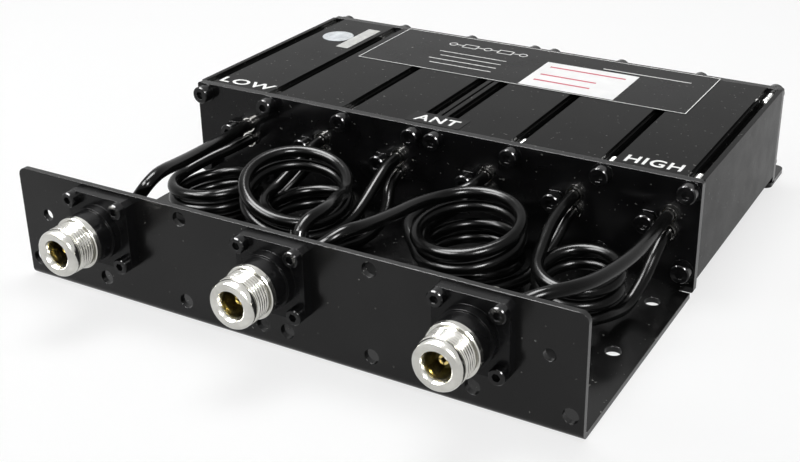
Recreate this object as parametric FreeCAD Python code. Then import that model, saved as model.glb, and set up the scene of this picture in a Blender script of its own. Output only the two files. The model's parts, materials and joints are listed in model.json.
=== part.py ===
import FreeCAD, Part
import math
import os

# Six-cavity duplexer: an open sheet-metal tray with three coaxial jacks on its front panel, and behind it a
# block of six helical resonators, each tuned by one screw and joined to its neighbours by coaxial cables.
# Millimetres. X runs along the front panel, Y goes back from it, Z is up. The origin is at the middle of the
# underside of the part's bounding box.

V = FreeCAD.Vector

# Tray
unit_width = 213.0
sheet = 2.0
panel_height = 42.0
panel_corner_radius = 3.0
bend_outer_radius = 2.8
tray_front_depth = 94.4
ear_length = 21.5
notch_depth = 4.0
ear_radius = 3.2
panel_screw_hole_radius = 2.6
panel_screw_hole_height = 7.7
panel_upper_hole_below_top = 4.0
panel_fixing_hole_radius = 2.1
panel_fixing_hole_from_edge = 11.3
panel_fixing_hole_below_top = 16.0
base_hole_radius = 2.8
base_hole_from_edge = 9.5
base_hole_ys = (47.0, 83.0)
ear_hole_radius = 2.2
ear_hole_from_edge = 9.5
ear_hole_from_end = 9.0

# Cavity block
block_start = 98.2
block_depth = 104.8
tray_behind_block = 15.5
plate = 3.0
plate_top = 42.2
plate_corner_radius = 1.0
plate_overhang = 2.5
block_gap = 1.0
column_from_edge = 4.2
outer_wall = 2.2
skin = 2.0
divider = 3.0
channel_mouth = 4.6
channel_mouth_depth = 1.6
channel_throat = 3.7
channel_centre_depth = 3.9
channel_boss_wall = 1.2
channel_floor = 1.3
cavity_corner_radius = 0.8

# Plate screws and washers
screw_radius = 2.0
screw_thread_radius = 1.8
screw_head_radius = 3.5
screw_head_height = 4.0
screw_head_chamfer = 0.4
screw_socket_across_flats = 3.0
screw_socket_depth = 2.2
screw_reach = 12.0
screw_hole_clearance = 0.2
washer_radius = 4.0
washer_bore_clearance = 0.15
washer_thickness = 0.5

# Screws from under the tray into the block
chassis_screw_radius = 1.8
chassis_screw_head_radius = 3.6
chassis_screw_head_height = 1.6
chassis_socket_across_flats = 2.5
chassis_socket_depth = 1.2
chassis_screw_reach = 8.0
chassis_screw_inset = 20.0
chassis_hole_clearance = 0.2

# Jacks
low_jack_from_edge = 38.9
high_jack_from_edge = 34.5
jack_below_top = 13.7
flange_side = 25.4
flange_thickness = 4.1
flange_chamfer = 1.6
jack_screw_spacing = 20.0
boss_rear_radius = 9.5
boss_rear_end = 7.5
boss_front_radius = 8.8
boss_end = 12.9
collar_radius = 8.9
collar_length = 2.3
relief_radius = 7.4
relief_length = 0.7
thread_radius = 7.94
jack_reach = 24.2
jack_end_chamfer = 0.7
jack_bore = 4.25
jack_mouth_radius = 5.0
jack_mouth_depth = 1.6
jack_tail_radius = 7.0
jack_tail_end = 13.3
jack_seat_clearance = 0.1
insulator_front = 9.0
insulator_back = 3.0
contact_radius = 1.6
contact_bore = 0.8
contact_tip = 19.6
contact_bore_depth = 7.0
contact_slot = 0.3
contact_back = 11.8
jack_screw_radius = 1.4
jack_screw_head_radius = 2.75
jack_screw_head_height = 3.0
jack_screw_head_chamfer = 0.35
jack_socket_across_flats = 2.5
jack_socket_depth = 1.7
jack_screw_clearance = 0.15

# Tuners
resonator_height = 25.5
tuner_offset = 0.6
tuner_pitch = 0.7
tuner_radius = 2.0
tuner_clearance = 0.05
tuner_plate_clearance = 0.15
tuner_length = 24.0
tuner_turns_left = (0.5, 0.5, 0.25, 1.0, 0.75, 1.25)
nut_across_flats = 7.0
nut_thickness = 2.2
slug_radius = 6.0
slug_length = 14.0

# Resonators
former_bore = 8.0
former_radius = 9.0
former_start = 12.0
strip_width = 3.0
strip_thickness = 1.0
strip_clearance = 0.02
coil_turns = 6
coil_pitch = 9.0
coil_start = 16.0

# Cables
cable_radius = 2.5
core_radius = 0.5
ferrule_offset = 7.8
ferrule_spacing = 6.3
ferrule_radius = 3.05
ferrule_clearance = 0.05
ferrule_reach = 2.0
loop_reach = 9.0
loop_bend_radius = 2.0
jack_ferrule_length = 3.0
cable_start = 6.0
ferrule_run = 8.2
coil_points = 12
run_share = 0.45

# Where the cables enter the jacks: depth behind the panel, angle above +X, lean towards the block, straight run
jack_entries = {
    "low": (9.0, 52.0, 0.0, 14.0),
    "antenna_low": (10.0, 98.0, 30.0, 11.5),
    "antenna_high": (9.0, 36.0, 0.0, 12.5),
    "high": (9.5, 33.0, 0.0, 12.0),
}

# Cable ends: a jack entry, or a cavity's number and its upper or lower ferrule
cable_ends = {
    "low_lead": ("low", "1_upper"),
    "low_jumper": ("1_lower", "2_lower"),
    "low_antenna_jumper": ("2_upper", "3_lower"),
    "low_antenna_lead": ("antenna_low", "3_upper"),
    "high_antenna_lead": ("antenna_high", "4_upper"),
    "high_antenna_jumper": ("4_lower", "5_lower"),
    "high_jumper": ("5_upper", "6_lower"),
    "high_lead": ("high", "6_upper"),
}

# Cable coils. X is counted from the middle between the places of the cable's two ends. Centre x, depth behind the
# panel, height at the start, radius, start angle, turns (anticlockwise from above is positive), drop per turn,
# rise per unit of +X, rise per unit of +Y
coils = {
    "low_jumper": (-11.5, 66.0, 19.1, 16.0, 170.0, 2.45, 5.2, 0.12, 0.0),
    "low_antenna_jumper": (-3.2, 68.0, 18.3, 17.4, 170.0, 2.44, 5.25, 0.0, 0.0),
    "low_antenna_lead": (-26.2, 57.5, 31.0, 18.5, 10.0, 1.87, 5.45, -0.2, 0.16),
    "high_antenna_lead": (23.5, 60.6, 30.0, 18.3, 150.0, -1.85, 5.35, 0.038, 0.14),
    "high_antenna_jumper": (-9.6, 70.3, 18.3, 16.9, 180.0, 2.42, 5.3, 0.0, 0.0),
    "high_jumper": (-0.5, 61.5, 21.6, 13.6, 180.0, 2.42, 5.4, 0.0, 0.2),
}

# Cable leads before and after the coils: x as in the coils, depth behind the panel, height
leads_in = {
    "low_lead": ((16.6, 12.0, 42.4), (15.7, 18.5, 43.2), (11.6, 33.0, 39.9)),
    "low_jumper": ((-22.9, 79.0, 20.2),),
    "low_antenna_jumper": ((-18.3, 80.0, 23.4),),
    "low_antenna_lead": ((6.5, 27.5, 38.5), (2.9, 38.0, 36.0), (-2.7, 49.5, 32.4)),
    "high_antenna_lead": ((3.3, 15.5, 39.6), (5.3, 24.0, 38.0), (5.9, 40.0, 35.2), (5.7, 57.0, 32.6)),
    "high_antenna_jumper": ((-23.5, 81.0, 19.8),),
    "high_jumper": ((-17.1, 76.0, 26.2),),
    "high_lead": ((3.5, 13.5, 37.0), (8.9, 21.0, 36.6), (12.3, 33.0, 34.6)),
}
leads_out = {
    "low_lead": ((3.6, 61.0, 34.6), (-2.5, 80.0, 30.6)),
    "low_jumper": ((7.6, 73.0, 7.2), (11.3, 82.0, 13.0)),
    "low_antenna_jumper": ((18.7, 73.0, 4.9), (20.1, 84.0, 12.0)),
    "low_antenna_lead": ((-5.5, 56.5, 17.0), (-4.9, 66.0, 19.2), (-5.9, 80.0, 25.0)),
    "high_antenna_lead": ((-0.8, 60.5, 20.5), (-1.9, 71.0, 21.6), (3.4, 80.6, 24.6), (11.0, 84.4, 28.0)),
    "high_antenna_jumper": ((12.6, 75.0, 4.9), (16.4, 84.6, 13.2)),
    "high_jumper": ((13.9, 69.0, 4.9), (15.9, 80.0, 11.4)),
    "high_lead": ((14.3, 56.0, 32.0), (13.3, 76.0, 30.2)),
}

# Places that follow from the sizes above
tray_depth = block_start + block_depth + tray_behind_block
panel_y = (jack_reach - tray_depth) / 2
block_y = panel_y + block_start
inner_front_y = block_y + plate
rear_y = block_y + block_depth
inner_rear_y = rear_y - plate
plate_bottom = sheet
body_bottom = plate_bottom + plate_overhang
half_width = unit_width / 2
extrusion_width = (unit_width - block_gap) / 2
extrusion_centre = (unit_width - extrusion_width) / 2
cavity_width = (extrusion_width - 2 * outer_wall - 2 * divider) / 3
cavity_pitch = cavity_width + divider
outer_column = extrusion_width / 2 - column_from_edge
half_columns = (-outer_column, -cavity_pitch / 2, cavity_pitch / 2, outer_column)
columns = [side * extrusion_centre + x for side in (-1, 1) for x in half_columns]
upper_row = plate_top - channel_centre_depth
lower_row = body_bottom + channel_centre_depth
cavity_centres = [side * extrusion_centre + step * cavity_pitch for side in (-1, 1) for step in (-1, 0, 1)]
tuner_xs = [x + tuner_offset for x in cavity_centres]
ferrule_xs = [x + ferrule_offset for x in cavity_centres]
ferrule_heights = {"upper": resonator_height + ferrule_spacing / 2, "lower": resonator_height - ferrule_spacing / 2}
ferrules = {
    f"{number}_{row}": (x, z) for number, x in enumerate(ferrule_xs, 1) for row, z in ferrule_heights.items()
}
low_jack_x, high_jack_x = low_jack_from_edge - half_width, half_width - high_jack_from_edge
jack_axes = {"low": low_jack_x, "antenna": (low_jack_x + high_jack_x) / 2, "high": high_jack_x}
jack_height = panel_height - jack_below_top


def box(x0, x1, y0, y1, z0, z1):
    return Part.makeBox(x1 - x0, y1 - y0, z1 - z0, V(x0, y0, z0))


def rod(x, z, y0, y1, radius):
    """A cylinder along Y."""
    return Part.makeCylinder(radius, y1 - y0, V(x, y0, z), V(0, 1, 0))


def post(x, y, z0, z1, radius):
    """A cylinder along Z."""
    return Part.makeCylinder(radius, z1 - z0, V(x, y, z0), V(0, 0, 1))


def turned(x, z, y, profile):
    """A solid of revolution about the Y axis line through x and z, from (distance forward of y, radius) points."""
    points = [V(x + radius, y - forward, z) for forward, radius in profile]
    face = Part.Face(Part.makePolygon(points + points[:1]))
    return face.revolve(V(x, y, z), V(0, 1, 0), 360)


def rounded_path(points, radii, closed=False):
    """Straight edges joined by tangent arcs at the points whose radius isn't zero."""
    count = len(points)
    corners = range(count) if closed else range(1, count - 1)
    starts, ends, arcs = list(points), list(points), {}
    for i in corners:
        before = (points[i] - points[i - 1]).normalize()
        after = (points[(i + 1) % count] - points[i]).normalize()
        radius = radii[i]
        half_turn = before.getAngle(after) / 2
        if radius > 0 and half_turn > 1e-6:
            trim = radius * math.tan(half_turn)
            inward = (after - before).normalize()
            starts[i] = points[i] - before * trim
            ends[i] = points[i] + after * trim
            middle = points[i] + inward * (radius / math.cos(half_turn) - radius)
            arcs[i] = Part.Arc(starts[i], middle, ends[i]).toShape()
    edges = []
    for i in range(count):
        if i in arcs:
            edges.append(arcs[i])
        following = (i + 1) % count
        if (closed or following) and (starts[following] - ends[i]).Length > 1e-6:
            edges.append(Part.LineSegment(ends[i], starts[following]).toShape())
    return Part.Wire(edges)


def prism(points, radii, direction):
    """A closed rounded outline pushed along a direction."""
    return Part.Face(rounded_path(points, radii, closed=True)).extrude(direction)


def plate_outline(x0, x1, z0, z1, y, corner_radius, thickness):
    points = [V(x0, y, z0), V(x1, y, z0), V(x1, y, z1), V(x0, y, z1)]
    return prism(points, [corner_radius] * 4, V(0, thickness, 0))


def drill(shape, tools):
    for tool in tools:
        shape = shape.cut(tool)
    return shape


def vertical_edges_at(shape, places, axis):
    """The edges parallel to an axis whose middle lies over one of the places, given without that axis."""
    keep = [i for i in range(3) if abs(axis[i]) < 0.5]
    found = []
    for edge in shape.Edges:
        if len(edge.Vertexes) < 2 or not isinstance(edge.Curve, Part.Line):
            continue
        along = edge.Vertexes[1].Point - edge.Vertexes[0].Point
        if abs(abs(along.normalize().dot(axis)) - 1) > 1e-6:
            continue
        middle = edge.CenterOfMass
        for place in places:
            if all(abs(middle[i] - value) < 1e-3 for i, value in zip(keep, place)):
                found.append(edge)
    return found


def chassis_tray():
    """Front panel and base folded from one sheet, narrowed under the block, with two ears behind it."""
    half = half_width
    inner = bend_outer_radius - sheet
    section = [
        V(-half, panel_y, 0),
        V(-half, panel_y + tray_depth, 0),
        V(-half, panel_y + tray_depth, sheet),
        V(-half, panel_y + sheet, sheet),
        V(-half, panel_y + sheet, panel_height),
        V(-half, panel_y, panel_height),
    ]
    tray = prism(section, [bend_outer_radius, 0, 0, inner, 0, 0], V(unit_width, 0, 0))
    end_y = panel_y + tray_depth
    ear_y = end_y - ear_length
    for side in (-1, 1):
        edge = side * half
        inset = side * (half - notch_depth)
        low, high = sorted((edge, inset))
        tray = tray.cut(box(low, high, panel_y + tray_front_depth, ear_y, 0, sheet))
    corners = [(side * half, y) for side in (-1, 1) for y in (ear_y, end_y)]
    tray = tray.makeFillet(ear_radius, vertical_edges_at(tray, corners, V(0, 0, 1)))
    tops = [(side * half, panel_height) for side in (-1, 1)]
    tray = tray.makeFillet(panel_corner_radius, vertical_edges_at(tray, tops, V(0, 1, 0)))
    return drill(tray, panel_holes() + base_holes())


def panel_holes():
    back = panel_y + sheet
    tools = [rod(x, panel_screw_hole_height, panel_y, back, panel_screw_hole_radius) for x in columns]
    for x in (columns[2], columns[5]):
        tools.append(rod(x, panel_height - panel_upper_hole_below_top, panel_y, back, panel_screw_hole_radius))
    for side in (-1, 1):
        x, z = side * (half_width - panel_fixing_hole_from_edge), panel_height - panel_fixing_hole_below_top
        tools.append(rod(x, z, panel_y, back, panel_fixing_hole_radius))
    for jack_x in jack_axes.values():
        tools.append(rod(jack_x, jack_height, panel_y, back, jack_tail_radius + jack_seat_clearance))
        for x, z in jack_screw_places(jack_x):
            tools.append(rod(x, z, panel_y, back, jack_screw_radius + jack_screw_clearance))
    return tools


def base_holes():
    tools = []
    for side in (-1, 1):
        for y in base_hole_ys:
            tools.append(post(side * (half_width - base_hole_from_edge), panel_y + y, 0, sheet, base_hole_radius))
        ear_y = panel_y + tray_depth - ear_hole_from_end
        tools.append(post(side * (half_width - ear_hole_from_edge), ear_y, 0, sheet, ear_hole_radius))
    for x, y in chassis_screw_places():
        tools.append(post(x, y, 0, sheet, chassis_screw_radius + chassis_hole_clearance))
        tools.append(
            Part.makeCone(
                chassis_screw_head_radius + chassis_hole_clearance,
                chassis_screw_radius + chassis_hole_clearance,
                chassis_screw_head_height,
                V(x, y, 0),
                V(0, 0, 1),
            )
        )
    return tools


def chassis_screw_places():
    ys = (block_y + chassis_screw_inset, rear_y - chassis_screw_inset)
    return [(x, y) for x in (columns[1], columns[6]) for y in ys]


def jack_screw_places(jack_x):
    half = jack_screw_spacing / 2
    return [(jack_x + i * half, jack_height + j * half) for i in (-1, 1) for j in (-1, 1)]


def cavity_section(centre, step):
    """A cavity's section, with its corners stepped in round the screw channels; step is -1, 0 or 1 from the left."""
    middle = centre + step * cavity_pitch
    left, right = middle - cavity_width / 2, middle + cavity_width / 2
    left_column, right_column = centre + half_columns[step + 1], centre + half_columns[step + 2]
    bottom, top = body_bottom + skin, plate_top - skin
    boss_half = channel_mouth / 2 + channel_boss_wall
    in_left, in_right = left_column + boss_half, right_column - boss_half
    boss_depth = channel_centre_depth + channel_throat / 2 + channel_floor
    low, high = body_bottom + boss_depth, plate_top - boss_depth
    outline = [
        (in_left, bottom), (in_right, bottom), (in_right, low), (right, low), (right, high), (in_right, high),
        (in_right, top), (in_left, top), (in_left, high), (left, high), (left, low), (in_left, low),
    ]
    points = [V(x, inner_front_y, z) for x, z in outline]
    return prism(points, [cavity_corner_radius] * len(points), V(0, inner_rear_y - inner_front_y, 0))


def channel(x, surface, inward):
    """One open screw channel: a wide mouth, then a throat that the screw threads bite, with a round floor."""
    y0, y1 = inner_front_y, inner_rear_y
    centre = surface + inward * channel_centre_depth
    mouth = sorted((surface, surface + inward * channel_mouth_depth))
    throat = sorted((surface, centre))
    wide = box(x - channel_mouth / 2, x + channel_mouth / 2, y0, y1, *mouth)
    narrow = box(x - channel_throat / 2, x + channel_throat / 2, y0, y1, *throat)
    return wide.fuse([narrow, rod(x, centre, y0, y1, channel_throat / 2)])


def cavity_extrusion(side):
    """Three cavities side by side in one extruded length, open at both ends."""
    centre = side * extrusion_centre
    half = extrusion_width / 2
    body = box(centre - half, centre + half, inner_front_y, inner_rear_y, body_bottom, plate_top)
    tools = [cavity_section(centre, step) for step in (-1, 0, 1)]
    for x in half_columns:
        tools.append(channel(centre + x, plate_top, -1))
        tools.append(channel(centre + x, body_bottom, 1))
    return drill(body, tools)


def end_plate(y):
    """A flat plate over one end of both extrusions, with the holes of its screws."""
    body = plate_outline(-half_width, half_width, plate_bottom, plate_top, y, plate_corner_radius, plate)
    radius = screw_radius + screw_hole_clearance
    return drill(body, [rod(x, z, y, y + plate, radius) for x in columns for z in (lower_row, upper_row)])


def front_end_plate():
    body = end_plate(block_y)
    radius = tuner_radius + tuner_plate_clearance
    tools = [rod(x, resonator_height, block_y, inner_front_y, radius) for x in tuner_xs]
    tools += [rod(x, z, block_y, inner_front_y, ferrule_radius) for x, z in ferrules.values()]
    return drill(body, tools)


def hexagon(x, z, y, across_flats, depth):
    """A hexagonal bar along Y, from y over a depth that may be negative."""
    corner = across_flats / math.sqrt(3)
    angles = [math.radians(60 * i) for i in range(6)]
    points = [V(x + corner * math.cos(a), y, z + corner * math.sin(a)) for a in angles]
    return prism(points, [0] * len(points), V(0, depth, 0))


def socket_screw(x, z, y, seat, shank, end, outward=-1):
    """A socket head screw; seat is its head's distance outward of y, and end is where its shank ends."""
    top = seat + screw_head_height
    profile = [
        (top, 0),
        (top, screw_head_radius - screw_head_chamfer),
        (top - screw_head_chamfer, screw_head_radius),
        (seat, screw_head_radius),
        (seat, shank),
        (end, shank),
        (end, 0),
    ]
    body = turned(x, z, y, [(-outward * forward, radius) for forward, radius in profile])
    return body.cut(hexagon(x, z, y + outward * top, screw_socket_across_flats, -outward * screw_socket_depth))


def plate_screw(x, z, y, outward):
    """One screw through an end plate; outward is -1 at the front and 1 at the back."""
    seat = washer_thickness
    return socket_screw(x, z, y, seat, screw_thread_radius, seat - screw_reach, outward)


def plate_washer(x, z, y, outward):
    bore = screw_radius + washer_bore_clearance
    y0, y1 = sorted((y, y + outward * washer_thickness))
    return rod(x, z, y0, y1, washer_radius).cut(rod(x, z, y0, y1, bore))


def at_plate(make, y, outward):
    return Part.makeCompound([make(x, z, y, outward) for x in columns for z in (lower_row, upper_row)])


def chassis_screws():
    solids = []
    for x, y in chassis_screw_places():
        head = Part.makeCone(
            chassis_screw_head_radius, chassis_screw_radius, chassis_screw_head_height, V(x, y, 0), V(0, 0, 1)
        )
        shank = post(x, y, chassis_screw_head_height, chassis_screw_reach, chassis_screw_radius)
        socket = hexagon(0, 0, 0, chassis_socket_across_flats, chassis_socket_depth)
        socket.rotate(V(0, 0, 0), V(1, 0, 0), 90)
        socket.translate(V(x, y, 0))
        solids.append(head.fuse(shank).removeSplitter().cut(socket))
    return Part.makeCompound(solids)


def jack_flange(x):
    """Square mounting flange with a stepped boss, screwed to the panel's face."""
    half = flange_side / 2
    front = panel_y - flange_thickness
    square = [(-half, -half), (half, -half), (half, half), (-half, half)]
    points = []
    for (ax, az), (bx, bz) in zip(square, square[1:] + square[:1]):
        step_x = math.copysign(flange_chamfer, bx - ax) if bx != ax else 0
        step_z = math.copysign(flange_chamfer, bz - az) if bz != az else 0
        points.append(V(x + ax + step_x, front, jack_height + az + step_z))
        points.append(V(x + bx - step_x, front, jack_height + bz - step_z))
    body = prism(points, [0] * len(points), V(0, flange_thickness, 0))
    bosses = [
        rod(x, jack_height, panel_y - boss_rear_end, front, boss_rear_radius),
        rod(x, jack_height, panel_y - boss_end, panel_y - boss_rear_end, boss_front_radius),
    ]
    body = body.fuse(bosses).removeSplitter()
    bore = rod(x, jack_height, panel_y - boss_end, panel_y, jack_tail_radius + jack_seat_clearance)
    radius = jack_screw_radius + jack_screw_clearance
    holes = [rod(sx, sz, front, panel_y, radius) for sx, sz in jack_screw_places(x)]
    return drill(body, [bore] + holes)


def jack_barrel(name, x):
    """Plated jack body: coupling thread in front, collar on the boss, and a tail that takes the cables."""
    collar_end = boss_end + collar_length
    thread_start = collar_end + relief_length
    profile = [
        (-jack_tail_end, jack_bore),
        (-jack_tail_end, jack_tail_radius),
        (boss_end, jack_tail_radius),
        (boss_end, collar_radius),
        (collar_end, collar_radius),
        (collar_end, relief_radius),
        (thread_start, relief_radius),
        (thread_start, thread_radius),
        (jack_reach - jack_end_chamfer, thread_radius),
        (jack_reach, thread_radius - jack_end_chamfer),
        (jack_reach, jack_mouth_radius),
        (jack_reach - jack_mouth_depth, jack_bore),
    ]
    body = turned(x, jack_height, panel_y, profile)
    entries = [entry for entry in jack_entries if entry.startswith(name)]
    return drill(body, [jack_entry(entry, 0, jack_tail_end, ferrule_radius) for entry in entries])


def jack_entry(entry, start, end, radius):
    """A cylinder along the line on which a cable enters a jack, measured from the jack's axis."""
    origin, out = entry_line(entry)
    return Part.makeCylinder(radius, end - start, origin + out * start, out)


def entry_line(entry):
    depth, angle, lean, straight = jack_entries[entry]
    angle, lean = math.radians(angle), math.radians(lean)
    out = V(math.cos(angle) * math.cos(lean), math.sin(lean), math.sin(angle) * math.cos(lean))
    return V(jack_axes[entry.split("_")[0]], panel_y + depth, jack_height), out


def jack_insulator(x):
    front, back = panel_y - insulator_front, panel_y + insulator_back
    body = rod(x, jack_height, front, back, jack_bore)
    return body.cut(rod(x, jack_height, front, back, contact_radius))


def jack_contact(x):
    """Slotted socket contact, bored at its tip."""
    tip, back = panel_y - contact_tip, panel_y + contact_back
    body = rod(x, jack_height, tip, back, contact_radius)
    bored = tip + contact_bore_depth
    slots = [
        box(x - contact_radius, x + contact_radius, tip, bored, jack_height - contact_slot / 2,
            jack_height + contact_slot / 2),
        box(x - contact_slot / 2, x + contact_slot / 2, tip, bored, jack_height - contact_radius,
            jack_height + contact_radius),
    ]
    return drill(body, [rod(x, jack_height, tip, bored, contact_bore)] + slots)


def jack_screws():
    """Four socket head screws on each flange, threaded into the panel."""
    solids = []
    top = flange_thickness + jack_screw_head_height
    for jack_x in jack_axes.values():
        for x, z in jack_screw_places(jack_x):
            profile = [
                (top, 0),
                (top, jack_screw_head_radius - jack_screw_head_chamfer),
                (top - jack_screw_head_chamfer, jack_screw_head_radius),
                (flange_thickness, jack_screw_head_radius),
                (flange_thickness, jack_screw_radius),
                (-sheet, jack_screw_radius),
                (-sheet, 0),
            ]
            socket = hexagon(x, z, panel_y - top, jack_socket_across_flats, jack_socket_depth)
            solids.append(turned(x, z, panel_y, profile).cut(socket))
    return Part.makeCompound(solids)


def head_gap(turns):
    return turns * tuner_pitch


def tuning_screw(x, turns):
    """Tuning screw; turns is how far it can still be screwed in before its head meets the nut."""
    seat = nut_thickness + head_gap(turns)
    return socket_screw(x, resonator_height, block_y, seat, tuner_radius - tuner_clearance, seat - tuner_length)


def lock_nut(x):
    body = hexagon(x, resonator_height, block_y, nut_across_flats, -nut_thickness)
    return body.cut(rod(x, resonator_height, block_y - nut_thickness, block_y, tuner_radius))


def tuning_slug(x, turns):
    """Cylinder on the inner end of the tuning screw, which moves in and out of the coil."""
    end = block_y + tuner_length - nut_thickness - head_gap(turns)
    body = rod(x, resonator_height, end - slug_length, end, slug_radius)
    return body.cut(rod(x, resonator_height, end - slug_length, end, tuner_radius))


def coil_former(x):
    y = inner_front_y + former_start
    tube = rod(x, resonator_height, y, inner_rear_y, former_radius)
    return tube.cut(rod(x, resonator_height, y, inner_rear_y, former_bore))


def resonator_coil(x):
    """Flat strip wound on the former, with a straight end soldered to the front plate."""
    inner = former_radius + strip_clearance
    middle = inner + strip_thickness / 2
    y = inner_front_y + coil_start
    helix = Part.makeHelix(coil_pitch, coil_turns * coil_pitch, middle)
    section = [
        V(inner, 0, -strip_width / 2), V(inner + strip_thickness, 0, -strip_width / 2),
        V(inner + strip_thickness, 0, strip_width / 2), V(inner, 0, strip_width / 2),
    ]
    coil = Part.Wire(helix).makePipeShell([Part.makePolygon(section + section[:1])], True, True)
    coil.rotate(V(0, 0, 0), V(1, 0, 0), -90)
    coil.rotate(V(0, 0, 0), V(0, 1, 0), 180)
    coil.translate(V(x, y, resonator_height))
    tail = box(x - inner - strip_thickness, x - inner, inner_front_y, y + strip_width / 2,
               resonator_height - strip_width / 2, resonator_height + strip_width / 2)
    return coil.fuse(tail)


def coupling_loop(x):
    """Wire loop inside the front plate that joins the two cable cores of one cavity."""
    top, bottom = ferrule_heights["upper"], ferrule_heights["lower"]
    y = inner_front_y
    points = [V(x, y, top), V(x, y + loop_reach, top), V(x, y + loop_reach, bottom), V(x, y, bottom)]
    path = rounded_path(points, [0, loop_bend_radius, loop_bend_radius, 0])
    section = Part.Wire(Part.makeCircle(core_radius, points[0], V(0, 1, 0)))
    return path.makePipeShell([section], True, False)


def cable_ferrules():
    """Plated rings in which the cable screens are soldered: twelve in the front plate, four in the jacks."""
    bore = cable_radius + ferrule_clearance
    y0, y1 = block_y - ferrule_reach, inner_front_y
    solids = [rod(x, z, y0, y1, ferrule_radius).cut(rod(x, z, y0, y1, bore)) for x, z in ferrules.values()]
    end = cable_start + jack_ferrule_length
    for entry in jack_entries:
        outer = jack_entry(entry, cable_start, end, ferrule_radius)
        solids.append(outer.cut(jack_entry(entry, cable_start, end, bore)))
    return Part.makeCompound(solids)


def jack_core_wires():
    """The bared cable cores, soldered to the jack contacts."""
    solids = []
    for name, x in jack_axes.items():
        pin = rod(x, jack_height, panel_y, panel_y + contact_back, contact_radius)
        entries = [entry for entry in jack_entries if entry.startswith(name)]
        solids += [jack_entry(entry, 0, cable_start, core_radius).cut(pin) for entry in entries]
    return Part.makeCompound(solids)


def end_x(end):
    """The x of the jack or ferrule at which a cable ends."""
    return ferrules[end][0] if end in ferrules else entry_line(end)[0].x


def cable_end(end):
    """The two points of a cable's straight end, the cut end first."""
    if end in ferrules:
        x, z = ferrules[end]
        return [V(x, inner_front_y, z), V(x, block_y - ferrule_run, z)]
    origin, out = entry_line(end)
    return [origin + out * cable_start, origin + out * jack_entries[end][-1]]


def coil_route(x, depth, height, radius, start, turns, drop, rise_x, rise_y):
    """Control points round one coil, set out so that the middles of the runs lie on its radius."""
    steps = round(abs(turns) * coil_points)
    reach = radius / math.cos(math.pi / coil_points)
    points = []
    for i in range(steps + 1):
        angle = math.radians(start + 360 * turns * i / steps)
        dx, dy = reach * math.cos(angle), reach * math.sin(angle)
        z = height - drop * abs(turns) * i / steps + rise_x * dx + rise_y * dy
        points.append((x + dx, depth + dy, z))
    return points


def cable_route(name):
    first, last = cable_ends[name]
    middle = (end_x(first) + end_x(last)) / 2
    places = list(leads_in[name])
    if name in coils:
        places += coil_route(*coils[name])
    places += leads_out[name]
    between = [V(middle + x, panel_y + depth, z) for x, depth, z in places]
    return cable_end(first) + between + cable_end(last)[::-1]


def bend_radius(before, corner, after):
    one, other = corner - before, after - corner
    half_turn = one.getAngle(other) / 2
    return run_share * min(one.Length, other.Length) / math.tan(half_turn)


def cable(name):
    """One coaxial cable along its whole route, from one soldered end to the other."""
    points = cable_route(name)
    corners = zip(points, points[1:], points[2:])
    radii = [0] + [bend_radius(*corner) for corner in corners] + [0]
    path = rounded_path(points, radii)
    print(name, "length", round(path.Length, 1), "tightest bend", round(min(radii[1:-1]), 1))
    section = Part.Wire(Part.makeCircle(cable_radius, points[0], points[1] - points[0]))
    return path.makePipeShell([section], True, False)


def sub_parts():
    parts = {
        "chassis_tray": chassis_tray(),
        "cavity_extrusion_left": cavity_extrusion(-1),
        "cavity_extrusion_right": cavity_extrusion(1),
        "front_end_plate": front_end_plate(),
        "rear_end_plate": end_plate(inner_rear_y),
        "front_plate_screws": at_plate(plate_screw, block_y, -1),
        "rear_plate_screws": at_plate(plate_screw, rear_y, 1),
        "front_plate_washers": at_plate(plate_washer, block_y, -1),
        "rear_plate_washers": at_plate(plate_washer, rear_y, 1),
        "chassis_screws": chassis_screws(),
        "jack_screws": jack_screws(),
        "cable_ferrules": cable_ferrules(),
        "jack_core_wires": jack_core_wires(),
        "coupling_loops": Part.makeCompound([coupling_loop(x) for x in ferrule_xs]),
        "coil_formers": Part.makeCompound([coil_former(x) for x in tuner_xs]),
    }
    for name, x in jack_axes.items():
        parts[name + "_jack_flange"] = jack_flange(x)
        parts[name + "_jack_barrel"] = jack_barrel(name, x)
        parts[name + "_jack_insulator"] = jack_insulator(x)
        parts[name + "_jack_contact"] = jack_contact(x)
    for number, (x, turns) in enumerate(zip(tuner_xs, tuner_turns_left), 1):
        parts[f"tuning_screw_{number}"] = tuning_screw(x, turns)
        parts[f"tuning_lock_nut_{number}"] = lock_nut(x)
        parts[f"tuning_slug_{number}"] = tuning_slug(x, turns)
        parts[f"resonator_coil_{number}"] = resonator_coil(x)
    for name in cable_ends:
        parts["coax_" + name] = cable(name)
    return parts


os.makedirs("parts", exist_ok=True)
for node, shape in sub_parts().items():
    shape.exportStep(os.path.join("parts", node + ".step"))
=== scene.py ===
import json
import math

import bmesh
import bpy
from mathutils import Matrix, Vector


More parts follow.
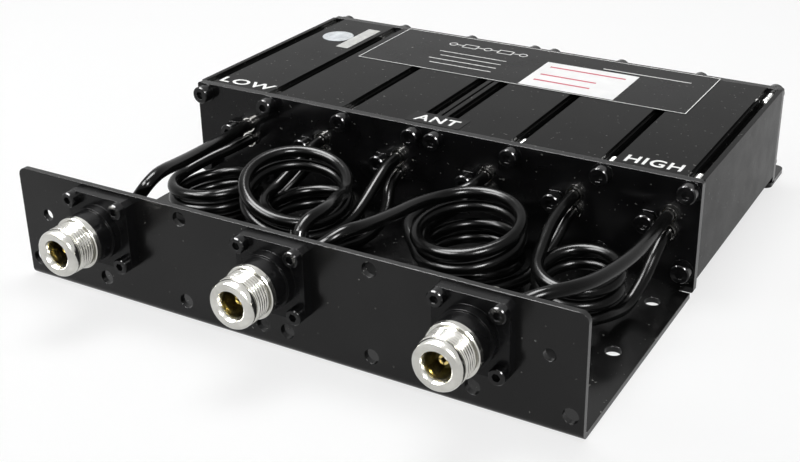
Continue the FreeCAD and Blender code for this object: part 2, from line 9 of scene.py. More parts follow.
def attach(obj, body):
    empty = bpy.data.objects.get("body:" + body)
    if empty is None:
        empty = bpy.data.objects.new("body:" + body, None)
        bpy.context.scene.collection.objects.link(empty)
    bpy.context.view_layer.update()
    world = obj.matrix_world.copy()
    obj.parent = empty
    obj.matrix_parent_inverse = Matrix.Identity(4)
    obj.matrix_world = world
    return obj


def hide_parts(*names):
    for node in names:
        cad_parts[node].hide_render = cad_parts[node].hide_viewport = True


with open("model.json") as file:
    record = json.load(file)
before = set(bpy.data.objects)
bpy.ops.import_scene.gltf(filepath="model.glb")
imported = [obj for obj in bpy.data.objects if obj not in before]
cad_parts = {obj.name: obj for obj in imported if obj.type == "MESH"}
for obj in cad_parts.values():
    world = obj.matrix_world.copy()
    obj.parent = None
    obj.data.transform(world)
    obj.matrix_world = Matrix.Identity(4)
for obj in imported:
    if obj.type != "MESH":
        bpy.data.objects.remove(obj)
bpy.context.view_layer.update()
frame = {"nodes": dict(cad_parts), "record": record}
nodes = frame["nodes"]
MM = 0.001

# Sizes of the model in millimetres, as in the part's source
panel_y = -97.15
block_y = 1.05
inner_front_y = 4.05
inner_rear_y = 102.85
rear_y = 105.85
top_z = 42.2
half_block = 53.5
columns = [side * half_block + x for side in (-1, 1) for x in (-48.8, -17.4333, 17.4333, 48.8)]
rows = (8.4, 38.3)
jack_axes = {"low": -67.6, "antenna": 2.2, "high": 72.0}
jack_height = 28.3


# ---------------------------------------------------------------- camera, as solved from the photograph

camera_data = bpy.data.cameras.new("camera")
camera_data.lens = 56.433
camera_data.sensor_width = 36.0
camera_data.shift_x = -0.04048
camera_data.shift_y = -0.06535
camera_data.clip_start = 0.01
camera_data.clip_end = 20
camera = bpy.data.objects.new("camera", camera_data)
bpy.context.scene.collection.objects.link(camera)
right = Vector((0.874702, 0.484621, -0.00616))
up = Vector((-0.193301, 0.36049, 0.912514))
forward = Vector((-0.444444, 0.796988, -0.408999))
camera_matrix = Matrix((right, up, -forward)).transposed().to_4x4()
camera_matrix.translation = Vector((0.213225, -0.375665, 0.215195))
camera.matrix_world = camera_matrix
bpy.context.scene.camera = camera


# ---------------------------------------------------------------- materials

def node_set(tree, kind, **inputs):
    """A shader node with the given attributes and the given values of its inputs."""
    made = tree.nodes.new(kind)
    for name, value in inputs.items():
        if hasattr(made, name):
            setattr(made, name, value)
        else:
            made.inputs[name.replace("_", " ")].default_value = value
    return made


even = (1, 1, 1)
drawn = (1, 0.02, 1)       # lines along Y, as an extrusion or a drawn strip has
turned = (0.12, 1, 0.12)   # rings round Y, as a lathe leaves


def noise(tree, scale, stretch=even, detail=3.0):
    """Noise of that scale per metre, drawn out along an axis whose stretch is small."""
    coords = node_set(tree, "ShaderNodeTexCoord")
    mapping = node_set(tree, "ShaderNodeMapping")
    mapping.inputs["Scale"].default_value = stretch
    tree.links.new(coords.outputs["Object"], mapping.inputs["Vector"])
    texture = node_set(tree, "ShaderNodeTexNoise", Scale=scale, Detail=detail)
    tree.links.new(mapping.outputs["Vector"], texture.inputs["Vector"])
    return texture.outputs["Fac"]


def ranged(tree, value, low, high, start=0.35, end=0.65):
    """A number from low to high as value goes from start to end."""
    made = node_set(tree, "ShaderNodeMapRange", From_Min=start, From_Max=end, To_Min=low, To_Max=high)
    tree.links.new(value, made.inputs["Value"])
    return made.outputs["Result"]


def blended(tree, value, low, high, start=0.35, end=0.7):
    """A colour from low to high as value goes from start to end."""
    ramp = node_set(tree, "ShaderNodeValToRGB")
    for element, position, colour in zip(ramp.color_ramp.elements, (start, end), (low, high)):
        element.position = position
        element.color = (*colour, 1)
    tree.links.new(value, ramp.inputs["Fac"])
    return ramp.outputs["Color"]


def mixed(tree, share, first, second):
    """The first colour where share is 0 and the second where it is 1; each is three numbers or a socket."""
    made = node_set(tree, "ShaderNodeMix", data_type="RGBA")
    for name, colour in (("A", first), ("B", second)):
        socket = next(s for s in made.inputs if s.name == name and s.type == "RGBA")
        if isinstance(colour, tuple):
            socket.default_value = (*colour, 1)
        else:
            tree.links.new(colour, socket)
    tree.links.new(share, made.inputs["Factor"])
    return next(s for s in made.outputs if s.type == "RGBA")


dust_grey = (0.35, 0.35, 0.33)
dust_scale = 700
dust_range = (0.74, 0.78)    # of its noise, from no dust to a full speck
sleeve_black = (0.006, 0.006, 0.006)
wear_scale = 1.7             # of the noise in the roughness, for each unit of blotch
edge_samples = 4


def finish(name, low, high, rough, grain, bump, metallic=0.0, depth=0.00005, blotch=60, specular=0.5,
           edge=0.0, specks=0.0, sleeved_before=None):
    """A procedural finish: a colour from low to high in blotches, a roughness range and a fine grain.

    blotch and the grain's first number are noise scales per metre. edge is the radius in metres that shading
    rounds sharp edges to, and specks is the strength of the dust. A metal with sleeved_before, a Y in metres,
    wears a black sleeve in front of it.
    """
    material = bpy.data.materials.new(name)
    material.use_nodes = True
    tree = material.node_tree
    shader = tree.nodes["Principled BSDF"]
    shader.inputs["Metallic"].default_value = metallic
    shader.inputs["Specular IOR Level"].default_value = specular
    colour = blended(tree, noise(tree, blotch), low, high)
    if specks:
        dust = ranged(tree, noise(tree, dust_scale, detail=1.0), 0.0, specks, *dust_range)
        colour = mixed(tree, dust, colour, dust_grey)
    if sleeved_before is not None:
        coords = node_set(tree, "ShaderNodeTexCoord")
        position = node_set(tree, "ShaderNodeSeparateXYZ")
        tree.links.new(coords.outputs["Object"], position.inputs["Vector"])
        bare = node_set(tree, "ShaderNodeMath", operation="GREATER_THAN")
        bare.inputs[1].default_value = sleeved_before
        tree.links.new(position.outputs["Y"], bare.inputs[0])
        tree.links.new(bare.outputs[0], shader.inputs["Metallic"])
        colour = mixed(tree, bare.outputs[0], sleeve_black, colour)
    tree.links.new(colour, shader.inputs["Base Color"])
    tree.links.new(ranged(tree, noise(tree, blotch * wear_scale), *rough), shader.inputs["Roughness"])
    scale, stretch = grain
    relief = node_set(tree, "ShaderNodeBump", Strength=bump, Distance=depth)
    tree.links.new(noise(tree, scale, stretch), relief.inputs["Height"])
    if edge:
        rounded = node_set(tree, "ShaderNodeBevel", samples=edge_samples, Radius=edge)
        tree.links.new(rounded.outputs["Normal"], relief.inputs["Normal"])
    tree.links.new(relief.outputs["Normal"], shader.inputs["Normal"])
    return material


finishes = {
    "tray_black": finish("satin_black_paint", (0.004, 0.004, 0.004), (0.006, 0.006, 0.006), (0.18, 0.26),
                         grain=(1400, even), bump=0.08, specular=0.22, edge=0.0003, specks=0.5),
    "plate_black": finish("gloss_black_paint", (0.004, 0.004, 0.0042), (0.0065, 0.0065, 0.007), (0.1, 0.18),
                          grain=(1100, even), bump=0.06, specular=0.15, edge=0.0003, specks=0.35),
    "extrusion_black": finish("black_anodised_extrusion", (0.006, 0.006, 0.0059), (0.0082, 0.0082, 0.008),
                              (0.2, 0.27), grain=(2600, drawn), bump=0.08, specular=0.034, edge=0.0002,
                              specks=0.3),
    "black_steel": finish("black_oxide_steel", (0.003, 0.003, 0.0032), (0.006, 0.006, 0.0065), (0.12, 0.2),
                          grain=(2200, even), bump=0.1, specular=0.24, edge=0.0002, blotch=500),
    "jack_black": finish("black_plated_flange", (0.004, 0.004, 0.0042), (0.0065, 0.0065, 0.007), (0.2, 0.28),
                         grain=(2500, turned), bump=0.1, specular=0.12, edge=0.00025),
    "nickel": finish("nickel_plate", (0.46, 0.455, 0.425), (0.6, 0.595, 0.56), (0.12, 0.22), metallic=1.0,
                     grain=(3000, turned), bump=0.08, blotch=160),
    "gold": finish("gold_plate", (0.5, 0.4, 0.16), (0.64, 0.52, 0.24), (0.16, 0.28), metallic=1.0,
                   grain=(2600, turned), bump=0.15, blotch=260),
    "ptfe": finish("white_fluoropolymer", (0.62, 0.61, 0.56), (0.76, 0.75, 0.7), (0.4, 0.5),
                   grain=(1800, turned), bump=0.15, blotch=200),
    "tinned_brass": finish("tinned_brass", (0.58, 0.57, 0.54), (0.76, 0.75, 0.72), (0.07, 0.14), metallic=1.0,
                           grain=(2400, even), bump=0.04, blotch=300, specular=0.2, sleeved_before=-0.05),
    "copper": finish("bare_copper", (0.62, 0.27, 0.13), (0.78, 0.42, 0.25), (0.22, 0.4), metallic=1.0,
                     grain=(2400, drawn), bump=0.2, blotch=300),
    "silvered_copper": finish("silvered_copper", (0.66, 0.65, 0.62), (0.84, 0.83, 0.8), (0.2, 0.36),
                              metallic=1.0, grain=(1800, turned), bump=0.15, blotch=120),
    "plain_brass": finish("plain_brass", (0.55, 0.4, 0.16), (0.68, 0.52, 0.24), (0.22, 0.4), metallic=1.0,
                          grain=(2400, turned), bump=0.15, blotch=140),
    "cable_jacket": finish("gloss_black_jacket", (0.0016, 0.0016, 0.0016), (0.003, 0.003, 0.0029), (0.19, 0.25),
                           grain=(700, even), bump=0.08, depth=0.0001, specular=0.09, blotch=90),
}
bright_steel = finish("zinc_plated_thread", (0.5, 0.5, 0.49), (0.7, 0.7, 0.68), (0.2, 0.34), metallic=1.0,
                      grain=(2400, even), bump=0.2, blotch=400)
# The bore's gold is darker and greyer than the contacts' gold: painted shade in the hollow bore, not a
# different plating.
bore_gold_painted_shade = finish("gold_plate_painted_shade", (0.34, 0.3, 0.15), (0.44, 0.4, 0.22), (0.14, 0.24), metallic=1.0,
                   grain=(2600, turned), bump=0.12, blotch=260)
label_black = finish("black_label_film", (0.008, 0.008, 0.008), (0.011, 0.011, 0.011), (0.2, 0.28),
                     grain=(700, even), bump=0.08, specular=0.045, specks=0.3)
print_white = finish("white_print", (0.76, 0.76, 0.75), (0.82, 0.82, 0.81), (0.45, 0.6),
                     grain=(2600, even), bump=0.15, blotch=500, specular=0.3)
paper_white = finish("white_label_film", (0.76, 0.76, 0.76), (0.82, 0.82, 0.82), (0.35, 0.5),
                     grain=(1600, even), bump=0.06, blotch=120, specular=0.3)
paper_grey = finish("grey_label_paper", (0.42, 0.42, 0.41), (0.54, 0.54, 0.52), (0.4, 0.55),
                    grain=(2000, even), bump=0.1, blotch=400, specular=0.3)
print_red = finish("red_print", (0.42, 0.02, 0.06), (0.52, 0.035, 0.08), (0.45, 0.6),
                   grain=(2600, even), bump=0.1, blotch=400, specular=0.3)
seal_silver = finish("silver_film", (0.3, 0.32, 0.34), (0.46, 0.48, 0.5), (0.3, 0.42), metallic=0.7,
                     grain=(1500, even), bump=0.3, blotch=350)

for name, node in nodes.items():
    wanted = next(s["material_slot"] for s in frame["record"]["subparts"] if s["node"] == name)
    if not node.material_slots:
        node.data.materials.append(finishes[wanted])
    for material_slot in node.material_slots:
        material_slot.material = finishes[wanted]


# ---------------------------------------------------------------- pieces

def piece(name, mesh, materials, smooth=False):
    """An object of the scene's own, fixed to the chassis."""
    made = bpy.data.objects.new(name, mesh)
    bpy.context.scene.collection.objects.link(made)
    for material in materials:
        mesh.materials.append(material)
    for face in mesh.polygons:
        face.use_smooth = smooth
    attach(made, "chassis")
    return made


def mesh_of(name, bm):
    """The mesh made from a bmesh, which is freed."""
    mesh = bpy.data.meshes.new(name)
    bm.to_mesh(mesh)
    bm.free()
    return mesh


def ring_of(bm, x, y, z, radii):
    """A ring of vertices round an axis along Y, one for each radius."""
    angles = [2 * math.pi * i / len(radii) for i in range(len(radii))]
    places = [(x + r * math.cos(a), y, z + r * math.sin(a)) for r, a in zip(radii, angles)]
    return [bm.verts.new(Vector(place) * MM) for place in places]


def band(bm, one, other):
    """The faces between two rings of vertices."""
    following = [(i, (i + 1) % len(one)) for i in range(len(one))]
    return [bm.faces.new((one[i], other[i], other[j], one[j])) for i, j in following]


# ---------------------------------------------------------------- cords

# Where the cables enter the jacks: depth behind the panel's face, angle above +X, lean towards the block and
# the distance from the jack's axis to the end of the straight run, in millimetres and degrees
jack_entries = {
    "low": (9.0, 52.0, 0.0, 14.0),
    "antenna_low": (10.0, 98.0, 30.0, 11.5),
    "antenna_high": (9.0, 36.0, 0.0, 12.5),
    "high": (9.5, 33.0, 0.0, 12.0),
}
cable_ends = {
    "low_lead": ("low", "1_upper"),
    "low_jumper": ("1_lower", "2_lower"),
    "low_antenna_jumper": ("2_upper", "3_lower"),
    "low_antenna_lead": ("antenna_low", "3_upper"),
    "high_antenna_lead": ("antenna_high", "4_upper"),
    "high_antenna_jumper": ("4_lower", "5_lower"),
    "high_jumper": ("5_upper", "6_lower"),
    "high_lead": ("high", "6_upper"),
}
ferrule_xs = (-80.567, -45.7, -10.833, 26.433, 61.3, 96.167)
ferrule_zs = {"upper": 28.65, "lower": 22.35}
ferrules = {f"{n}_{row}": (x, z) for n, x in enumerate(ferrule_xs, 1) for row, z in ferrule_zs.items()}

# Coils: centre x, depth behind the panel's face, height at the start, radius, start angle, turns, drop per
# turn, rise per unit of +X, rise per unit of +Y
coils = {
    "low_jumper": (-74.6, 66.0, 19.1, 16.0, 170.0, 2.45, 5.2, 0.12, 0.0),
    "low_antenna_jumper": (-31.5, 68.0, 18.3, 17.4, 170.0, 2.44, 5.25, 0.0, 0.0),
    "low_antenna_lead": (-30.5, 57.5, 31.0, 18.5, 10.0, 1.87, 5.45, -0.2, 0.16),
    "high_antenna_lead": (38.1, 60.6, 29.8, 17.9, 150.0, -1.85, 5.25, 0.038, 0.12),
    "high_antenna_jumper": (34.3, 70.3, 18.3, 16.9, 180.0, 2.42, 5.3, 0.0, 0.0),
    "high_jumper": (78.2, 61.5, 22.3, 13.6, 180.0, 2.42, 5.15, 0.0, 0.15),
}

# Points before and after the coil: x, depth behind the panel's face, height
leads_in = {
    "low_lead": ((-57.5, 12.0, 42.4), (-58.4, 18.5, 43.2), (-62.5, 33.0, 39.9)),
    "low_jumper": ((-86.0, 79.0, 20.2),),
    "low_antenna_jumper": ((-46.6, 80.0, 23.4),),
    "low_antenna_lead": ((2.2, 27.5, 38.5), (-1.4, 38.0, 36.0), (-7.0, 49.5, 32.4)),
    "high_antenna_lead": ((17.6, 15.5, 39.6), (19.6, 24.0, 38.0), (20.2, 40.0, 35.2), (20.0, 57.0, 32.6)),
    "high_antenna_jumper": ((20.4, 81.0, 19.8),),
    "high_jumper": ((61.6, 76.0, 26.2),),
    "high_lead": ((87.6, 13.5, 37.0), (93.0, 21.0, 36.6), (96.4, 33.0, 34.6)),
}
leads_out = {
    "low_lead": ((-70.5, 61.0, 34.6), (-76.6, 80.0, 30.6)),
    "low_jumper": ((-55.5, 73.0, 7.2), (-51.8, 82.0, 13.0)),
    "low_antenna_jumper": ((-9.6, 73.0, 4.9), (-8.2, 84.0, 12.0)),
    "low_antenna_lead": ((-9.8, 56.5, 17.0), (-9.2, 66.0, 19.2), (-10.2, 80.0, 25.0)),
    "high_antenna_lead": ((13.5, 60.5, 20.9), (12.4, 71.0, 22.0), (17.7, 80.6, 24.6), (25.3, 84.4, 28.0)),
    "high_antenna_jumper": ((56.6, 71.0, 6.4), (58.8, 78.0, 12.6), (60.6, 84.5, 17.4)),
    "high_jumper": ((92.6, 69.0, 4.9), (94.6, 80.0, 11.4)),
    "high_lead": ((98.4, 56.0, 32.0), (97.4, 76.0, 30.2)),
}
cable_start = 6.0      # from the jack's axis to the cable's cut end
ferrule_run = 8.2      # from the front end plate's face to the end of the straight run in front of it
coil_points = 12       # control points for each turn
cable_radius = 2.25


def cable_end(end):
    """The two points of a cable's straight end, the cut end first."""
    if end in ferrules:
        x, z = ferrules[end]
        return [(x, inner_front_y, z), (x, block_y - ferrule_run, z)]
    depth, angle, lean, straight = jack_entries[end]
    angle, lean = math.radians(angle), math.radians(lean)
    origin = Vector((jack_axes[end.split("_")[0]], panel_y + depth, jack_height))
    out = Vector((math.cos(angle) * math.cos(lean), math.sin(lean), math.sin(angle) * math.cos(lean)))
    return [origin + out * cable_start, origin + out * straight]


def coil_route(x, depth, height, radius, start, turns, drop, rise_x, rise_y):
    """Control points round a coil, set outside its circle because the curve cuts their corners."""
    steps = round(abs(turns) * coil_points)
    reach = radius / math.cos(math.pi / coil_points)
    points = []
    for i in range(steps + 1):
        angle = math.radians(start + 360 * turns * i / steps)
        dx, dy = reach * math.cos(angle), reach * math.sin(angle)
        z = height - drop * abs(turns) * i / steps + rise_x * dx + rise_y * dy
        points.append((x + dx, panel_y + depth + dy, z))
    return points


def cable_route(name):
    """Control points from the cut end that cable_ends names first to the other."""
    first, last = cable_ends[name]
    before = [(x, panel_y + depth, z) for x, depth, z in leads_in[name]]
    after = [(x, panel_y + depth, z) for x, depth, z in leads_out[name]]
    coil = coil_route(*coils[name]) if name in coils else []
    return cable_end(first) + before + coil + after + cable_end(last)[::-1]


for name in cable_ends:
    points = cable_route(name)
    curve = bpy.data.curves.new("cable_" + name, "CURVE")
    curve.dimensions = "3D"
    curve.bevel_depth = cable_radius * MM
    curve.bevel_resolution = 6
    curve.use_fill_caps = True
    spline = curve.splines.new("NURBS")
    spline.points.add(len(points) - 1)
    for point, position in zip(spline.points, points):
        point.co = (*[c * MM for c in position], 1)
    spline.order_u = 3
    spline.use_endpoint_u = True
    spline.resolution_u = 8
    curve.materials.append(finishes["cable_jacket"])
    cable = bpy.data.objects.new("cable_" + name, curve)
    bpy.context.scene.collection.objects.link(cable)
    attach(cable, "chassis")
    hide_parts("coax_" + name)


# ---------------------------------------------------------------- jack barrels with their coupling thread

barrel_segments = 112
thread_pitch = 25.4 / 24
thread_start, thread_end, thread_crest = 15.7, 21.0, 8.1
thread_steps = 60
groove_depth = 0.45
groove_half = 0.32       # half of the groove's width, as a share of the pitch
groove_gain = 1.25       # over 1, so that the groove has a flat bottom
run_out = 0.5            # over which the groove fades at each end

# The barrel's section round its axis: distance in front of the panel's face, radius
barrel_tail = [(-13.3, 4.25), (-13.3, 6.7), (-13.0, 7.0), (12.9, 7.0), (12.9, 8.7), (13.1, 8.95), (14.8, 8.95),
               (15.1, 8.7), (15.15, 7.7), (15.5, 7.7), (15.6, 8.0)]
barrel_thread = [(thread_start + (thread_end - thread_start) * i / thread_steps, thread_crest)
                 for i in range(thread_steps + 1)]
barrel_nose = [(21.1, 8.0), (21.2, 7.55), (21.5, 7.55), (21.6, 7.9), (21.75, 8.0), (22.9, 8.0), (23.5, 7.9),
               (24.0, 7.65), (24.35, 7.25), (24.5, 6.8), (24.5, 5.4), (24.4, 5.15), (24.2, 5.0), (22.7, 4.3)]
barrel_bore = [(22.4, 4.25), (16.0, 4.25), (9.0, 4.25)]


def groove(ahead, turn):
    """How deep the thread's groove is, so far in front of the panel's face and at that share of a turn."""
    phase = (ahead / thread_pitch + turn) % 1.0
    cut = max(0.0, 1 - abs(phase - 0.5) / groove_half)
    fade = min(1.0, (ahead - thread_start) / run_out, (thread_end - ahead) / run_out)
    return groove_depth * min(1.0, cut * groove_gain) * fade


def barrel_mesh(name, x):
    """The barrel's section swept round its axis, with its thread and with a darker gold in its bore, which is
    painted shade.
    """
    bm = bmesh.new()
    rings = []
    for part in (barrel_tail, barrel_thread, barrel_nose, barrel_bore):
        for ahead, radius in part:
            radii = [radius] * barrel_segments
            if part is barrel_thread:
                radii = [radius - groove(ahead, i / barrel_segments) for i in range(barrel_segments)]
            rings.append(ring_of(bm, x, panel_y - ahead, jack_height, radii))
    strips = [band(bm, one, other) for one, other in zip(rings, rings[1:] + rings[:1])]
    # The bore's faces take the darker gold, which is painted shade.
    for strip in strips[-1 - len(barrel_bore):-1]:
        for face in strip:
            face.material_index = 1
    bmesh.ops.recalc_face_normals(bm, faces=bm.faces)
    return mesh_of(name, bm)


def keep_edges(made, degrees=35):
    """Takes smooth shading away from the edges sharper than the angle."""
    bm = bmesh.new()
    bm.from_mesh(made.data)
    for edge in bm.edges:
        if len(edge.link_faces) == 2:
            edge.smooth = edge.calc_face_angle(0) < math.radians(degrees)
    bm.to_mesh(made.data)
    bm.free()


for name, x in jack_axes.items():
    made = piece(name + "_jack_threaded_barrel", barrel_mesh(name + "_barrel", x),
                 [finishes["nickel"], bore_gold_painted_shade], smooth=True)
    keep_edges(made)
    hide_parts(name + "_jack_barrel")


# ---------------------------------------------------------------- end plates down to the tray's underside

plate_lowering = 1.95
plate_foot = 3.1       # the height below which a plate's vertices belong to its lower edge and corners
for name in ("front_end_plate", "rear_end_plate"):
    mesh = nodes[name].data.copy()
    for vertex in mesh.vertices:
        if vertex.co.z < plate_foot * MM:
            vertex.co.z -= plate_lowering * MM
    made = bpy.data.objects.new(name + "_full", mesh)
    bpy.context.scene.collection.objects.link(made)
    made.matrix_world = nodes[name].matrix_world.copy()
    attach(made, "chassis")
    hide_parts(name)


# ---------------------------------------------------------------- screw threads

sleeve_segments = 20
steps_per_turn = 4
shank_gap, shank_reach = 0.05, 11.6    # from a plate's inner and outer face to the thread's ends


def thread_sleeves(name, shanks, root, crest, pitch):
    """Helical ridges on shanks along Y, one for each (x, z, first y, last y)."""
    bm = bmesh.new()
    for x, z, y0, y1 in shanks:
        steps = max(2, round(abs(y1 - y0) / pitch * steps_per_turn))
        rings = []
        for k in range(steps + 1):
            y = y0 + (y1 - y0) * k / steps
            phases = [(abs(y - y0) / pitch + i / sleeve_segments) % 1.0 for i in range(sleeve_segments)]
            radii = [root + (crest - root) * (1 - abs(2 * phase - 1)) for phase in phases]
            rings.append(ring_of(bm, x, y, z, radii))
        for one, other in zip(rings, rings[1:]):
            band(bm, one, other)
        bm.faces.new(rings[0])
        bm.faces.new(rings[-1])
    bmesh.ops.recalc_face_normals(bm, faces=bm.faces)
    return mesh_of(name, bm)


shanks = [(x, z, inner_front_y + shank_gap, block_y + shank_reach) for x in columns for z in rows]
shanks += [(x, z, inner_rear_y - shank_gap, rear_y - shank_reach) for x in columns for z in rows]
piece("plate_screw_threads", thread_sleeves("plate_screw_threads", shanks, root=1.82, crest=2.02, pitch=0.7),
      [bright_steel], smooth=True)


# ---------------------------------------------------------------- prints and labels on the block's top

def slab(name, outlines, z0, z1, bevel=0.0):
    """Flat pieces from closed outlines in x and y, from z0 to z1, all in millimetres."""
    bm = bmesh.new()
    for outline in outlines:
        low = [bm.verts.new(Vector((x, y, z0)) * MM) for x, y in outline]
        high = [bm.verts.new(Vector((x, y, z1)) * MM) for x, y in outline]
        bm.faces.new(high)
        bm.faces.new(low[::-1])
        for i in range(len(outline)):
            j = (i + 1) % len(outline)
            bm.faces.new((low[i], low[j], high[j], high[i]))
    bmesh.ops.recalc_face_normals(bm, faces=bm.faces)
    if bevel:
        rims = [e for e in bm.edges if all(abs(v.co.z - z1 * MM) < 1e-7 for v in e.verts)]
        bmesh.ops.bevel(bm, geom=rims, offset=bevel * MM, segments=2, affect="EDGES", profile=0.6)
    return mesh_of(name, bm)


def rounded(x0, y0, x1, y1, r, steps=5):
    """A rectangle's outline with rounded corners."""
    points = []
    corners = ((x1 - r, y1 - r), (x0 + r, y1 - r), (x0 + r, y0 + r), (x1 - r, y0 + r))
    for (cx, cy), start in zip(corners, (0, 90, 180, 270)):
        for i in range(steps + 1):
            angle = math.radians(start + 90 * i / steps)
            points.append((cx + r * math.cos(angle), cy + r * math.sin(angle)))
    return points


def bar(x0, y0, x1, y1):
    """A rectangle's outline."""
    return [(x0, y0), (x1, y0), (x1, y1), (x0, y1)]


def frame_bars(x0, y0, x1, y1, width):
    """The four strips of a thin rectangular outline."""
    return [bar(x0, y0, x1, y0 + width), bar(x0, y1 - width, x1, y1),
            bar(x0, y0 + width, x0 + width, y1 - width), bar(x1 - width, y0 + width, x1, y1 - width)]


def circle(cx, cy, r, steps=48):
    """A circle's outline."""
    angles = [2 * math.pi * i / steps for i in range(steps)]
    return [(cx + r * math.cos(angle), cy + r * math.sin(angle)) for angle in angles]


def ring_bars(cx, cy, r, width, steps=32):
    """A thin circle as short strips."""
    made = []
    for i in range(steps):
        a, b = 2 * math.pi * i / steps, 2 * math.pi * (i + 1) / steps
        corners = ((r, a), (r, b), (r - width, b), (r - width, a))
        made.append([(cx + q * math.cos(t), cy + q * math.sin(t)) for q, t in corners])
    return made


film = 0.12
print_step = 0.04
film_top = top_z + film
print_top = film_top + print_step


def flat(name, outlines, z, thickness, material, bevel=0.0):
    """A film, a label or a print on the block's top."""
    piece(name, slab(name, outlines, z, z + thickness, bevel), [material])


# The large label, with a thin line inside its edge
label_front, label_rear = panel_y + 156.0, panel_y + 201.5
label_left, label_right = -65.7, 81.2
border_inset, border_width = 0.25, 0.35
label = rounded(label_left, label_front, label_right, label_rear, 0.8)
flat("top_label", [label], top_z, film, label_black, bevel=0.04)
lines = frame_bars(label_left + border_inset, label_front + border_inset, label_right - border_inset,
                   label_rear - border_inset, border_width)

# On it a plain block diagram and ruled lines
diagram_y = panel_y + 190.5
diagram_line = 0.45
circle_radius, box_half = 1.9, 2.2
wire_half = 0.25
for cx in (-37.0, -20.0, -3.0):
    lines += ring_bars(cx, diagram_y, circle_radius, diagram_line)
for x0, x1 in ((-32.0, -25.0), (-15.0, -8.0)):
    lines += frame_bars(x0, diagram_y - box_half, x1, diagram_y + box_half, diagram_line)
for x0, x1 in ((-35.1, -32.0), (-25.0, -21.9), (-18.1, -15.0), (-8.0, -4.9)):
    lines.append(bar(x0, diagram_y - wire_half, x1, diagram_y + wire_half))
for x0, x1, y, width in ((-38.0, -6.0, 179.5, 0.5), (-35.0, -6.0, 174.5, 0.5), (-38.0, -6.0, 169.5, 0.5),
                         (-35.0, -6.0, 164.5, 0.5), (34.0, 72.0, 190.0, 0.6)):
    lines.append(bar(x0, panel_y + y, x1, panel_y + y + width))
flat("label_print", lines, film_top, print_step, print_white)

# The white field with three rules
field = bar(10.0, panel_y + 157.4, 51.0, panel_y + 187.6)
flat("label_field", [field], film_top, print_step, paper_white)
rule_left, rule_width = 13.5, 1.2
rules = [bar(rule_left, panel_y + y, x1, panel_y + y + rule_width)
         for y, x1 in ((181.5, 47.0), (171.5, 38.0), (164.5, 38.0))]
flat("label_rules", rules, print_top, print_step, print_red)

# The seal with two rings, and the small paper label, which is bare
seal = (-88.7, panel_y + 176.3)
flat("silver_seal", [circle(*seal, 7.0)], top_z, film, seal_silver, bevel=0.04)
rings = ring_bars(*seal, 6.3, 0.25, 48) + ring_bars(*seal, 4.6, 0.2, 48)
flat("seal_rings", rings, film_top, print_step, paper_grey)
paper = rounded(-81.7, panel_y + 163.5, -75.6, panel_y + 191.7, 0.5)
flat("paper_label", [paper], top_z, film, paper_grey, bevel=0.03)

# The film under the middle word
middle = rounded(-10.6, inner_front_y + 0.2, 12.4, panel_y + 111.4, 0.5)
flat("middle_film", [middle], top_z, film, label_black, bevel=0.04)


def word(name, text, left, baseline, width, height, z):
    """A raised print of a word, stretched to a width and a height of its capitals in millimetres."""
    curve = bpy.data.curves.new(name, "FONT")
    curve.body = text
    curve.size = 1.0
    curve.space_character = 1.12
    curve.offset = 0.018
    curve.extrude = 0.01
    temporary = bpy.data.objects.new(name + "_text", curve)
    bpy.context.scene.collection.objects.link(temporary)
    bpy.context.view_layer.update()
    mesh = bpy.data.meshes.new_from_object(temporary.evaluated_get(bpy.context.evaluated_depsgraph_get()))
    bpy.data.objects.remove(temporary)
    bounds = [(min(values), max(values)) for values in zip(*(v.co for v in mesh.vertices))]
    wanted = ((left, width), (baseline, height), (z, print_step))
    for v in mesh.vertices:
        v.co = Vector([start + (value - low) / (high - low) * size
                       for value, (low, high), (start, size) in zip(v.co, bounds, wanted)]) * MM
    mesh.materials.clear()
    piece(name, mesh, [print_white])


words_y = panel_y + 103.4
word("word_low", "LOW", -99.6, words_y, 25.2, 5.6, top_z)
word("word_ant", "ANT", -8.0, words_y, 18.0, 5.6, film_top)
word("word_high", "HIGH", 76.2, words_y, 20.7, 6.2, top_z)


# ---------------------------------------------------------------- floor, world and lights

def seen_white(tree):
    """1 for camera, glossy and transmission rays, which see the white background, and 0 for the others."""
    path = node_set(tree, "ShaderNodeLightPath")
    seen = path.outputs["Is Camera Ray"]
    for kind in ("Is Glossy Ray", "Is Transmission Ray"):
        either = node_set(tree, "ShaderNodeMath", operation="MAXIMUM")
        tree.links.new(seen, either.inputs[0])
        tree.links.new(path.outputs[kind], either.inputs[1])
        seen = either.outputs[0]
    return seen


def two_looks(tree, output, share, lit, seen):
    """Shows the lit shader where share is 0 and the seen one where it is 1."""
    mix = node_set(tree, "ShaderNodeMixShader")
    for socket, source in zip(mix.inputs, (share, lit.outputs[0], seen.outputs[0])):
        tree.links.new(source, socket)
    tree.links.new(mix.outputs[0], node_set(tree, output).inputs["Surface"])


white = (1, 1, 1, 1)
world = bpy.data.worlds.new("world")
bpy.context.scene.world = world
world.use_nodes = True
tree = world.node_tree
tree.nodes.clear()
lighting = node_set(tree, "ShaderNodeBackground", Color=white, Strength=0.4)
background = node_set(tree, "ShaderNodeBackground", Color=white, Strength=1.0)
two_looks(tree, "ShaderNodeOutputWorld", seen_white(tree), lighting, background)

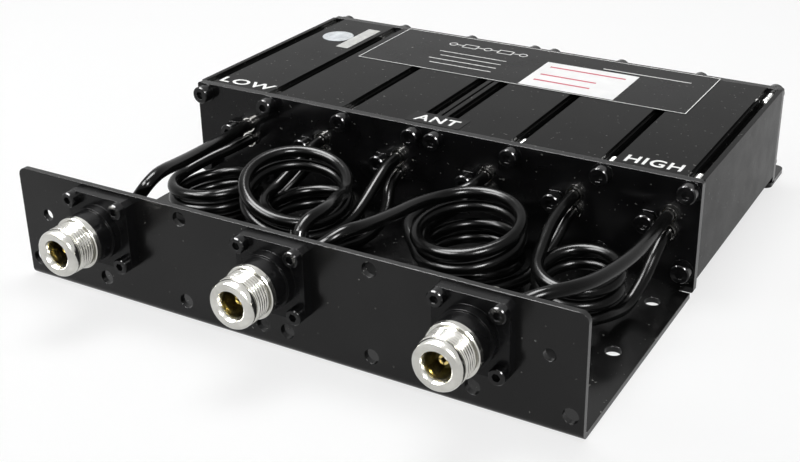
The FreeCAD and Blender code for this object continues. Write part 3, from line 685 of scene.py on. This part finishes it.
floor_radius = 6000
floor_thickness = 20
floor_grey = (0.86, 0.86, 0.86, 1)
floor_glow = 0.72    # how much of the floor is plain white to the rays that see it
floor_mesh = slab("floor", [circle(0, 0, floor_radius, 96)], -floor_thickness, 0)
floor = bpy.data.objects.new("floor", floor_mesh)
bpy.context.scene.collection.objects.link(floor)
floor_material = bpy.data.materials.new("pale_floor")
floor_material.use_nodes = True
tree = floor_material.node_tree
tree.nodes.clear()
surface = node_set(tree, "ShaderNodeBsdfDiffuse", Color=floor_grey)
glow = node_set(tree, "ShaderNodeEmission", Strength=1.0)
share = node_set(tree, "ShaderNodeMath", operation="MULTIPLY")
share.inputs[1].default_value = floor_glow
tree.links.new(seen_white(tree), share.inputs[0])
two_looks(tree, "ShaderNodeOutputMaterial", share.outputs[0], surface, glow)
floor_mesh.materials.append(floor_material)


def softbox(name, position, target, width, height, watts, diffuse=True, glossy=True):
    """A rectangular lamp, in metres, that lights matt surfaces, shows in gloss, or both."""
    data = bpy.data.lights.new(name, "AREA")
    data.shape = "RECTANGLE"
    data.size, data.size_y = width, height
    data.energy = watts
    lamp = bpy.data.objects.new(name, data)
    bpy.context.scene.collection.objects.link(lamp)
    lamp.location = position
    lamp.rotation_mode = "QUATERNION"
    lamp.rotation_quaternion = (Vector(target) - Vector(position)).to_track_quat("-Z", "Y")
    lamp.visible_diffuse = diffuse
    lamp.visible_glossy = glossy


softbox("overhead", (-0.1, 0.15, 0.85), (0, -0.03, 0), 0.5, 0.3, 4.2, glossy=False)
softbox("left_side", (-0.75, -0.35, 0.5), (0, -0.05, 0.02), 0.3, 0.4, 2.5, glossy=False)
softbox("right_side", (0.5, -0.6, 0.5), (0.05, 0, 0.02), 0.3, 0.4, 1.4, glossy=False)
softbox("overhead_glints", (-0.25, 0.0, 0.85), (0, -0.05, 0.02), 0.6, 0.4, 48.0, diffuse=False)
softbox("front_left_glints", (-0.45, -0.6, 0.75), (0, -0.05, 0.02), 0.75, 0.35, 55.0, diffuse=False)
softbox("front_right_glints", (0.55, -0.6, 0.6), (0.05, -0.05, 0.02), 0.25, 0.3, 30.0, diffuse=False)

bpy.context.scene.view_settings.view_transform = "Standard"
